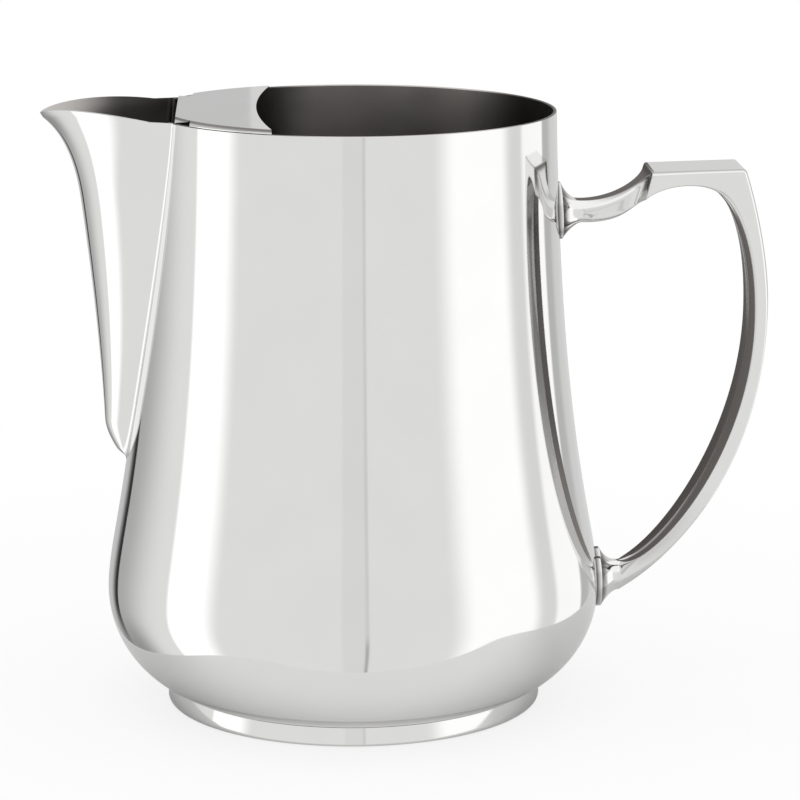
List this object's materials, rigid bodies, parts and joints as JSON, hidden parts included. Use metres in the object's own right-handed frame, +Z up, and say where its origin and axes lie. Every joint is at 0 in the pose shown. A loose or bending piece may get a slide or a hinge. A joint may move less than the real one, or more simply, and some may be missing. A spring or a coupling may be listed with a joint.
{
  "type": "water pitcher",
  "caption": "Bell-shaped polished metal water pitcher with a flared pouring spout, a flat ice guard across the mouth, a low foot ring and a strap handle with a thumb rest.",
  "frame": {"origin": "centre of the bounding box, on the plane that the foot ring stands on", "axes": "+Z up, +X towards the handle and -X towards the spout, +Y across the mouth"},
  "size_m": [0.2065, 0.1428, 0.1734],
  "materials": {
    "body": "mirror-polished sheet",
    "spout": "mirror-polished sheet",
    "guard": "polished sheet, slightly satin",
    "foot": "mirror-polished band",
    "handle": "polished casting",
    "upper_plate": "polished plate",
    "lower_plate": "polished plate"
  },
  "bodies": {
    "root": {"body_shell": "body", "spout": "spout", "ice_guard": "guard", "foot_ring": "foot", "handle": "handle", "upper_handle_plate": "upper_plate", "lower_handle_plate": "lower_plate"}
  },
  "joints": []
}
